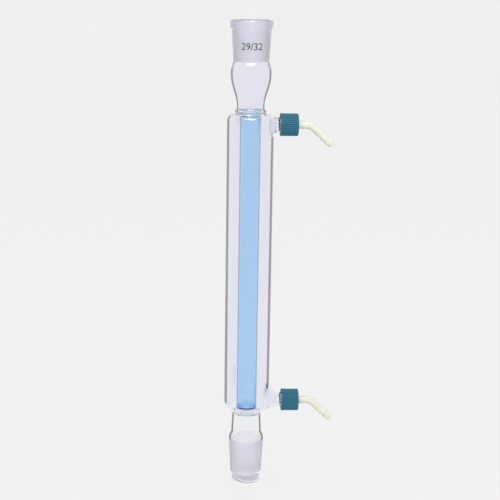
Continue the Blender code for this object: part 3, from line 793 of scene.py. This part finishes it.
def size_numbers():
    words = bpy.data.curves.new("size_numbers", "FONT")
    words.body = SIZE_NUMBERS
    words.size = NUMBER_HEIGHT / FIGURE_SHARE
    words.align_x = "CENTER"
    words.resolution_u = 6
    words.offset = NUMBER_STROKE
    shape = bpy.data.objects.new("size_numbers_flat", words)
    bpy.context.scene.collection.objects.link(shape)
    bpy.context.view_layer.update()
    depsgraph = bpy.context.evaluated_depsgraph_get()
    flat = bpy.data.meshes.new_from_object(shape.evaluated_get(depsgraph))
    bpy.data.objects.remove(shape)
    bm = bmesh.new()
    bm.from_mesh(flat)
    bpy.data.meshes.remove(flat)
    bmesh.ops.remove_doubles(bm, verts=bm.verts, dist=1e-4)
    long_edges = [edge for edge in bm.edges if edge.calc_length() > LONG_EDGE]
    bmesh.ops.subdivide_edges(bm, edges=long_edges, cuts=2)
    bmesh.ops.triangulate(bm, faces=bm.faces)
    raised = bmesh.ops.extrude_face_region(bm, geom=bm.faces[:])
    top = {v for v in raised["geom"] if isinstance(v, bmesh.types.BMVert)}
    slope = (SOCKET_BODY - WAIST_RADIUS) / (BEAD_FOOT - socket_low.z)
    for v in bm.verts:
        z = NUMBER_MIDDLE - NUMBER_HEIGHT / 2 + v.co.y
        r = WAIST_RADIUS + slope * (z - socket_low.z)
        angle = -math.pi / 2 + v.co.x / r
        r += ENAMEL_THICKNESS if v in top else ENAMEL_SINK
        v.co = (r * math.cos(angle), r * math.sin(angle), z)
    return bm


def mottled(nodes, links, shader, share, body, other):
    """Lets a noise mix two colours of a piece."""
    mottle = nodes.new("ShaderNodeMix")
    mottle.data_type = "RGBA"
    mottle.inputs["A"].default_value = (*body, 1.0)
    mottle.inputs["B"].default_value = (*other, 1.0)
    links.new(share, mottle.inputs["Factor"])
    links.new(mottle.outputs["Result"], shader.inputs["Base Color"])


def fired_enamel():
    made, nodes, links, shader = finish_nodes("fired_enamel")
    speckle = grain_on(nodes, links, scale=1800.0)
    paler = [ENAMEL_MOTTLE * share for share in ENAMEL_GREEN]
    mottled(nodes, links, shader, speckle, ENAMEL_GREEN, paler)
    bumped(nodes, links, shader, speckle, strength=0.2, depth=0.0001)
    roughened(nodes, links, shader, speckle, low=0.45, high=0.65)
    return made


numbers = as_piece(size_numbers(), "size_numbers", fired_enamel())
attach(numbers, "glass")

# Sealing rings: flat washers of pale moulded silicone rubber, one at the end of each nozzle. The cap
# squeezes each between the glass and the connector's flange.
RING_HOLE = 3.2
RING_LIP = 0.25
RING_TURNS = 72
RUBBER = (0.72, 0.71, 0.68)
RUBBER_MOTTLE = 0.93
RUBBER_DEPTH = 0.25
RUBBER_REACH = (0.002, 0.002, 0.0018)


def lengthwise(points):
    """(distance along an arm, radius) points from points of an arc."""
    return [(along, r) for r, along in points]


def arm_spun(level, outline, turns):
    """An outline of (distance past the nozzle's end, radius) points spun round a side arm's axis."""
    end = arm_ends[level]
    bm = bmesh.new()
    angles = [2 * math.pi * step / turns for step in range(turns)]
    rings = []
    for along, r in outline:
        ring = [(end.x + along, r * math.cos(a), end.z + r * math.sin(a)) for a in angles]
        rings.append([bm.verts.new(place) for place in ring])
    skinned(bm, rings + rings[:1])
    return bm


def sealing_ring(level):
    low, high = (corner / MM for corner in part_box(level + "_sealing_ring"))
    start = low.x - arm_ends[level].x + RING_LIP
    end = high.x - arm_ends[level].x - RING_LIP
    rim = high.y - RING_LIP
    hole = RING_HOLE + RING_LIP
    outline = []
    for quarter, centre in enumerate(((rim, start), (rim, end), (hole, end), (hole, start))):
        outline += lengthwise(arc(centre, RING_LIP, 90 * quarter - 90, 90 * quarter, 4))
    return arm_spun(level, outline, RING_TURNS)


def silicone():
    made, nodes, links, shader = finish_nodes("seal_rubber")
    shader.inputs["Subsurface Weight"].default_value = RUBBER_DEPTH
    shader.inputs["Subsurface Radius"].default_value = RUBBER_REACH
    shader.inputs["Subsurface Scale"].default_value = 1.0
    dust = grain_on(nodes, links, scale=900.0)
    mottled(nodes, links, shader, dust, RUBBER, [RUBBER_MOTTLE * share for share in RUBBER])
    bumped(nodes, links, shader, dust, strength=0.25, depth=0.0002)
    roughened(nodes, links, shader, dust, low=0.5, high=0.7)
    return made


silicone_finish = silicone()
for level in arm_ends:
    ring = as_piece(sealing_ring(level), level + "_silicone_ring", silicone_finish)
    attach(ring, level + "_seal")
    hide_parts(level + "_sealing_ring")

# Hose connectors: moulded elbows of ivory translucent plastic. The cap clamps each by its flange, a
# spigot passes the ring, and the tail is bent down and barbed for a water hose.
CONNECTOR_TURNS = 56
CONNECTOR_RADIUS = 3.3
CONNECTOR_BORE = 2.0
SPIGOT_RADIUS = 2.9
SPIGOT_LENGTH = 7.0
SPIGOT_ROUND = 0.25
SPIGOT_FILLET = 0.4
FLANGE_START = 2.6
FLANGE_THICKNESS = 1.5
FLANGE_RADIUS = 6.3
FLANGE_LIP = 0.3
BEND_START = 12.3
BEND_RADIUS = 10.0
BEND_ANGLE = math.radians(42)
TAIL_LENGTH = 20.2
TAIL_RADIUS = 3.0
BARB_PITCH = 4.5
BARB_RADIUS = 3.6
BARB_ROUND = 0.25
BARB_ROOT = 2.8
BARB_FRONT = ((-0.55, 0.36), (-0.3, 0.12))
BARB_BACK = tuple((0.55 + 0.75 * k, 0.16 + 0.49 * (k / 4) ** 0.8) for k in range(4))
BARB_LEAD = 0.7
BARB_LAND = 0.8
NOSE_RADIUS = 2.65
NOSE_ROUND = 0.3
NOSE_BEVEL = 0.12
MOUTH_BEVEL = 0.15
# Painted highlight: rows whose radius lies between these two take a near white ivory.
HIGHLIGHT_LOW = BARB_RADIUS - 0.2
HIGHLIGHT_HIGH = FLANGE_RADIUS - 0.5
HIGHLIGHT_FINISH = 1
IVORY_INDEX = 1.49
MILKY_SHEEN = 0.35
MILKY_TINT = (0.82, 0.84, 1.0, 1.0)
IVORY = (0.90, 0.90, 0.76)
IVORY_SHADE = (0.86, 0.85, 0.68)
IVORY_HIGHLIGHT = (0.98, 0.98, 0.95)


def connector_outline():
    """(distance along the elbow, radius) points, outside and then back through the bore."""
    bend = BEND_RADIUS * BEND_ANGLE
    whole = BEND_START + bend + TAIL_LENGTH
    back = FLANGE_START - SPIGOT_LENGTH
    flange_end = FLANGE_START + FLANGE_THICKNESS
    brim = FLANGE_RADIUS - FLANGE_LIP

    def straight(radius, start, end, points):
        return [(along, radius) for along in np.linspace(start, end, points)]

    out = lengthwise(arc((SPIGOT_RADIUS - SPIGOT_ROUND, back + SPIGOT_ROUND), SPIGOT_ROUND, -90, 0, 4))
    foot = FLANGE_START - SPIGOT_FILLET
    out += straight(SPIGOT_RADIUS, back + 1.0, foot, 5)
    out += lengthwise(arc((SPIGOT_RADIUS + SPIGOT_FILLET, foot), SPIGOT_FILLET, 180, 90, 4)[1:])
    out += lengthwise(arc((brim, FLANGE_START + FLANGE_LIP), FLANGE_LIP, -90, 0, 4))
    out += lengthwise(arc((brim, flange_end - FLANGE_LIP), FLANGE_LIP, 0, 90, 4))
    neck = (CONNECTOR_RADIUS + FLANGE_LIP, flange_end + FLANGE_LIP)
    out += lengthwise(arc(neck, FLANGE_LIP, 270, 180, 4))
    out += straight(CONNECTOR_RADIUS, flange_end + 1.0, BEND_START, 8)
    for share in np.linspace(0.0, 1.0, 15)[1:]:
        r = CONNECTOR_RADIUS + (TAIL_RADIUS - CONNECTOR_RADIUS) * share
        out.append((BEND_START + bend * share, r))
    first = whole - 2 * BARB_PITCH
    out += straight(TAIL_RADIUS, BEND_START + bend, first - BARB_LEAD, 7)[1:]
    for crest in (first, first + BARB_PITCH):
        out += [(crest + along, BARB_RADIUS - drop) for along, drop in BARB_FRONT]
        out += lengthwise(arc((BARB_RADIUS - BARB_ROUND, crest), BARB_ROUND, -40, 70, 5))
        out += [(crest + along, BARB_RADIUS - drop) for along, drop in BARB_BACK]
        out.append((crest + BARB_PITCH - BARB_LAND, BARB_ROOT))
    out += lengthwise(arc((NOSE_RADIUS - NOSE_ROUND, whole - NOSE_ROUND), NOSE_ROUND, 20, 90, 4))
    bore = [(whole, CONNECTOR_BORE + NOSE_BEVEL), (whole - MOUTH_BEVEL, CONNECTOR_BORE)]
    bore += straight(CONNECTOR_BORE, whole - 1.0, BEND_START + bend, 8)
    bore += straight(CONNECTOR_BORE, BEND_START + bend, BEND_START, 15)[1:]
    bore += straight(CONNECTOR_BORE, BEND_START, back + MOUTH_BEVEL, 8)[1:]
    bore.append((back, CONNECTOR_BORE + MOUTH_BEVEL))
    return out + bore


def hose_connector(level):
    end = arm_ends[level]
    bend = BEND_RADIUS * BEND_ANGLE
    bm = bmesh.new()
    rings = []
    for along, radius in connector_outline():
        turn = min(max((along - BEND_START) / BEND_RADIUS, 0.0), BEND_ANGLE)
        past = max(along - BEND_START - bend, 0.0)
        drop = BEND_RADIUS * (1 - math.cos(turn)) + past * math.sin(turn)
        x = min(along, BEND_START) + BEND_RADIUS * math.sin(turn) + past * math.cos(turn)
        ring = []
        for step in range(CONNECTOR_TURNS):
            angle = 2 * math.pi * step / CONNECTOR_TURNS
            side = radius * math.cos(angle)
            z = -drop - side * math.cos(turn)
            place = Vector((x - side * math.sin(turn), radius * math.sin(angle), z))
            ring.append(bm.verts.new(end + place))
        rings.append(ring)
    skinned(bm, rings + rings[:1])
    # The barb crests and the fillet behind the flange take the paler finish: a painted highlight.
    crest = [HIGHLIGHT_LOW < radius < HIGHLIGHT_HIGH for along, radius in connector_outline()]
    for row, (here, after) in enumerate(zip(crest, crest[1:])):
        if here and after:
            for face in bm.faces[row * CONNECTOR_TURNS : (row + 1) * CONNECTOR_TURNS]:
                face.material_index = HIGHLIGHT_FINISH
    return bm


def ivory_plastic(name, body, shade):
    made, nodes, links, shader = finish_nodes(name)
    shader.inputs["IOR"].default_value = IVORY_INDEX
    shader.inputs["Sheen Weight"].default_value = MILKY_SHEEN
    shader.inputs["Sheen Tint"].default_value = MILKY_TINT
    flow = grain_on(nodes, links, scale=130.0, stretch=(0.5, 1.0, 1.0))
    skin = grain_on(nodes, links, scale=260.0)
    mottled(nodes, links, shader, flow, body, shade)
    bumped(nodes, links, shader, skin, strength=0.05, depth=0.0002)
    roughened(nodes, links, shader, flow, low=0.3, high=0.42)
    return made


ivory_finish = ivory_plastic("connector_plastic", IVORY, IVORY_SHADE)
highlight_finish = ivory_plastic("barb_highlight_plastic", IVORY_HIGHLIGHT, IVORY)
for level in arm_ends:
    elbow = as_piece(hose_connector(level), level + "_barbed_elbow", ivory_finish, highlight_finish)
    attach(elbow, level + "_connector")
    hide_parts(level + "_hose_connector")

# Screw caps: moulded closures of teal plastic with grip ribs, a plain flange at the open end and a hole
# for the connector. They screw on: their inside thread runs between the turns of the glass thread.
CAP_RIBS = 32
RIB_POINTS = 10
CAP_OPEN = -8.4
CAP_END = 6.4
CAP_INSIDE = 4.4
CAP_BORE = 7.3
CAP_CREST = 9.1
CAP_LIP = 9.3
CAP_CHAMFER = 1.2
CAP_FLANGE = 1.4
CAP_FLANGE_ROUNDS = (0.35, 0.15)
CAP_ROUND = 1.3
CAP_RECESS = ((6.4, 0.0), (6.2, 0.12), (4.9, 0.12), (4.7, 0.0))
CAP_HOLE = 3.7
CAP_HOLE_ROUNDS = (0.3, 0.25)
CAP_CORNER = 0.4
RIB_DEPTH = 0.55
RIB_START = 0.03
RIB_RUN_IN = 0.25
RIB_FADE = 0.35
RIB_FADE_LENGTH = 0.5
RIB_GROOVE = (0.1, 0.7)
CAP_THREAD_HEIGHT = 0.85
CAP_THREAD_INNER = (-0.4, 1.2)
CAP_THREAD_OUTER = (CAP_OPEN + 1.2, CAP_OPEN + 2.4)
CAP_STATION = 0.2
PAINTED_LIGHT_FINISH = 1
TEAL = (0.027, 0.162, 0.25)
# Painted highlight: the paler teal laid on the rib crests.
TEAL_CREST_HIGHLIGHT = (0.06, 0.245, 0.355)
# Painted light: the cap's inside is painted a paler teal, as if more light reached into it.
TEAL_PAINTED_LIGHT = (0.16, 0.42, 0.52)
TEAL_GLOSS = 0.25
CREST_HIGHLIGHT_POINTINESS = (0.5, 0.62)


def cap_stations():
    """(distance past the nozzle's end, radius, share of ribs, share of thread) round the section."""
    stations = []

    def plain(points):
        stations.extend((z, r, 0.0, 0.0) for r, z in points)

    plain([(CAP_BORE, CAP_OPEN + CAP_CHAMFER), (CAP_BORE + CAP_CHAMFER, CAP_OPEN)])
    low_round, high_round = CAP_FLANGE_ROUNDS
    flange_end = CAP_OPEN + CAP_FLANGE
    plain(arc((CAP_LIP - low_round, CAP_OPEN + low_round), low_round, -90, 0, 5))
    plain(arc((CAP_LIP - high_round, flange_end - high_round), high_round, 0, 75, 3))
    ribs_end = CAP_END - CAP_ROUND
    for z in np.linspace(flange_end + RIB_START, ribs_end, 18):
        ribs = ramp(z, flange_end, flange_end + RIB_RUN_IN)
        ribs *= 1 - RIB_FADE * ramp(z, ribs_end - RIB_FADE_LENGTH, ribs_end)
        stations.append((z, CAP_CREST, ribs, 0.0))
    for r, z in arc((CAP_CREST - CAP_ROUND, ribs_end), CAP_ROUND, 6, 90, 10):
        ribs = (1 - RIB_FADE) * (1 - ramp(z, ribs_end, CAP_END - RIB_RUN_IN))
        stations.append((z, r, ribs, 0.0))
    plain([(r, CAP_END - depth) for r, depth in CAP_RECESS])
    outer_round, inner_round = CAP_HOLE_ROUNDS
    plain(arc((CAP_HOLE + outer_round, CAP_END - outer_round), outer_round, 90, 180, 4))
    plain(arc((CAP_HOLE + inner_round, CAP_INSIDE + inner_round), inner_round, 180, 270, 3))
    plain(arc((CAP_BORE - CAP_CORNER, CAP_INSIDE - CAP_CORNER), CAP_CORNER, 90, 0, 4))
    thread_end = CAP_OPEN + CAP_CHAMFER + 0.1
    for z in np.arange(CAP_INSIDE - CAP_CORNER - CAP_STATION, thread_end, -CAP_STATION):
        thread = (1 - ramp(z, *CAP_THREAD_INNER)) * ramp(z, *CAP_THREAD_OUTER)
        stations.append((z, CAP_BORE, 0.0, thread))
    return stations


def screw_cap(level):
    end = arm_ends[level]
    points = CAP_RIBS * RIB_POINTS
    bm = bmesh.new()
    rings = []
    for along, radius, ribs, thread in cap_stations():
        ring = []
        for step in range(points):
            turn = 2 * math.pi * step / points
            across = abs((step % RIB_POINTS) / RIB_POINTS - 0.5) * 2
            groove = 1 - ramp(across, *RIB_GROOVE)
            ridge = thread_ridge(along - THREAD_PITCH / 2, turn)
            r = radius - RIB_DEPTH * ribs * groove - CAP_THREAD_HEIGHT * thread * ridge
            place = (end.x + along, r * math.cos(turn), end.z + r * math.sin(turn))
            ring.append(bm.verts.new(place))
        rings.append(ring)
    skinned(bm, rings + rings[:1])
    # The faces inside the cap take the paler teal: painted light.
    for face in bm.faces:
        middle = face.calc_center_median() - end
        if middle.yz.length < CAP_BORE + 0.5 * CAP_CHAMFER and middle.x < CAP_INSIDE:
            face.material_index = PAINTED_LIGHT_FINISH
    return bm


def teal_plastic(name, body, crest_highlight):
    made, nodes, links, shader = finish_nodes(name)
    # Rib crests and other pointy edges are painted paler by pointiness and a noise: a painted highlight.
    pointy_geometry = nodes.new("ShaderNodeNewGeometry")
    shader.inputs["Specular IOR Level"].default_value = TEAL_GLOSS
    skin = grain_on(nodes, links, scale=500.0)
    flow = grain_on(nodes, links, scale=160.0)
    edge = nodes.new("ShaderNodeMapRange")
    edge.inputs["From Min"].default_value, edge.inputs["From Max"].default_value = CREST_HIGHLIGHT_POINTINESS
    links.new(pointy_geometry.outputs["Pointiness"], edge.inputs["Value"])
    highlight_share = nodes.new("ShaderNodeMath")
    highlight_share.operation = "MULTIPLY"
    links.new(edge.outputs["Result"], highlight_share.inputs[0])
    links.new(flow, highlight_share.inputs[1])
    mottled(nodes, links, shader, highlight_share.outputs["Value"], body, crest_highlight)
    bumped(nodes, links, shader, skin, strength=0.08, depth=0.0001)
    roughened(nodes, links, shader, flow, low=0.42, high=0.55)
    return made


teal_finish = teal_plastic("cap_plastic", TEAL, TEAL_CREST_HIGHLIGHT)
painted_light_finish = teal_plastic("cap_plastic_painted_light", TEAL_PAINTED_LIGHT, TEAL_CREST_HIGHLIGHT)
for level in arm_ends:
    cap = as_piece(screw_cap(level), level + "_ribbed_cap", teal_finish, painted_light_finish, sharp=40)
    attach(cap, level + "_cap")
    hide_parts(level + "_screw_cap")

# Studio: a pale floor below the hanging condenser, pale surroundings on all sides, and high in front one
# softbox for the light and one white card for the gloss. Floor and surroundings are the same pale grey.
PALE_GREY = (0.871, 0.871, 0.871, 1.0)
AMBIENT = (0.74, 0.74, 0.75, 1.0)
FLOOR_DROP = 30.0
FLOOR_SIZE = 12000.0
SHADOW_SHARE = 0.15
FLOOR_GLOW = (0.905, 0.905, 0.905, 1.0)
SOFTBOX_SIZE = (0.80, 0.26)
SOFTBOX_WATTS = 5.8
SOFTBOX_PLACE = Vector((0.02, -0.82, 1.20))
CARD_SIZE = (1.1, 0.36)
CARD_WATTS = 9.5
CARD_PLACE = Vector((-0.05, -0.885, 1.105))
LAMP_AIM = Vector((0.0, 0.0, 0.28))


def shown_ray(nodes, links):
    """1 for the rays that show the surroundings: straight from the camera, in gloss and through glass."""
    path = nodes.new("ShaderNodeLightPath")
    total = path.outputs["Is Camera Ray"]
    for name in ("Is Glossy Ray", "Is Transmission Ray"):
        add = nodes.new("ShaderNodeMath")
        add.operation = "MAXIMUM"
        links.new(total, add.inputs[0])
        links.new(path.outputs[name], add.inputs[1])
        total = add.outputs["Value"]
    return total


def pale_floor():
    made, nodes, links, _ = finish_nodes("pale_floor")
    nodes.clear()
    matt = nodes.new("ShaderNodeBsdfDiffuse")
    matt.inputs["Color"].default_value = PALE_GREY
    glow = nodes.new("ShaderNodeEmission")
    glow.inputs["Color"].default_value = FLOOR_GLOW
    share = nodes.new("ShaderNodeMath")
    share.operation = "MULTIPLY"
    share.inputs[1].default_value = 1 - SHADOW_SHARE
    links.new(shown_ray(nodes, links), share.inputs[0])
    mixed = nodes.new("ShaderNodeMixShader")
    links.new(share.outputs["Value"], mixed.inputs["Fac"])
    links.new(matt.outputs["BSDF"], mixed.inputs[1])
    links.new(glow.outputs["Emission"], mixed.inputs[2])
    out = nodes.new("ShaderNodeOutputMaterial")
    links.new(mixed.outputs["Shader"], out.inputs["Surface"])
    return made


half = FLOOR_SIZE / 2
sheet = bmesh.new()
corners = ((-half, -half), (half, -half), (half, half), (-half, half))
sheet.faces.new([sheet.verts.new((x, y, cone_low.z - FLOOR_DROP)) for x, y in corners])
floor = as_piece(sheet, "studio_floor", pale_floor())

world = bpy.data.worlds.new("studio")
world.use_nodes = True
bpy.context.scene.world = world
sky_nodes = world.node_tree.nodes
sky_links = world.node_tree.links
tone = sky_nodes.new("ShaderNodeMix")
tone.data_type = "RGBA"
tone.inputs["A"].default_value = AMBIENT
tone.inputs["B"].default_value = PALE_GREY
sky_links.new(shown_ray(sky_nodes, sky_links), tone.inputs["Factor"])
sky_links.new(tone.outputs["Result"], sky_nodes["Background"].inputs["Color"])


def hung_lamp(name, size, watts, place):
    """An oval lamp of a size in metres, hung at a place and turned to the socket."""
    lamp = bpy.data.lights.new(name, "AREA")
    lamp.shape = "ELLIPSE"
    lamp.size, lamp.size_y = size
    lamp.energy = watts
    hung = bpy.data.objects.new(name, lamp)
    hung.location = place
    hung.rotation_euler = (LAMP_AIM - place).to_track_quat("-Z", "Y").to_euler()
    bpy.context.scene.collection.objects.link(hung)
    return hung


softbox = hung_lamp("softbox", SOFTBOX_SIZE, SOFTBOX_WATTS, SOFTBOX_PLACE)
softbox.visible_glossy = False
softbox.visible_transmission = False
gloss_card = hung_lamp("gloss_card", CARD_SIZE, CARD_WATTS, CARD_PLACE)
gloss_card.visible_diffuse = False
gloss_card.visible_transmission = False

# Camera: a long lens in front of the condenser, a little above its middle, turned slightly down and to
# the right. Its place in metres and its turns in radians were fitted to the outline of the glass.
LENS = 82.8
SENSOR_WIDTH = 36.0
CAMERA_PLACE = Vector((-0.02778, -0.92659, 0.36623))
CAMERA_PITCH = 0.21534
CAMERA_ROLL = 0.01466
CAMERA_PAN = 0.0312
GLASS_BOUNCES = 32
GLOSS_BOUNCES = 12
CLEAR_BOUNCES = 16

lens = bpy.data.cameras.new("camera")
lens.lens = LENS
lens.sensor_width = SENSOR_WIDTH
camera = bpy.data.objects.new("camera", lens)
ahead = Vector((math.sin(CAMERA_PAN), math.cos(CAMERA_PAN), 0.0))
level_right = Vector((math.cos(CAMERA_PAN), -math.sin(CAMERA_PAN), 0.0))
tilted_up = math.sin(CAMERA_PITCH) * ahead + math.cos(CAMERA_PITCH) * Vector((0.0, 0.0, 1.0))
right = math.cos(CAMERA_ROLL) * level_right + math.sin(CAMERA_ROLL) * tilted_up
up = math.cos(CAMERA_ROLL) * tilted_up - math.sin(CAMERA_ROLL) * level_right
turned = Matrix((right, up, right.cross(up))).transposed().to_4x4()
camera.matrix_world = Matrix.Translation(CAMERA_PLACE) @ turned
bpy.context.scene.collection.objects.link(camera)
bpy.context.scene.camera = camera

scene = bpy.context.scene
scene.view_settings.view_transform = "Standard"
scene.cycles.max_bounces = GLASS_BOUNCES
scene.cycles.transmission_bounces = GLASS_BOUNCES
scene.cycles.glossy_bounces = GLOSS_BOUNCES
scene.cycles.transparent_max_bounces = CLEAR_BOUNCES
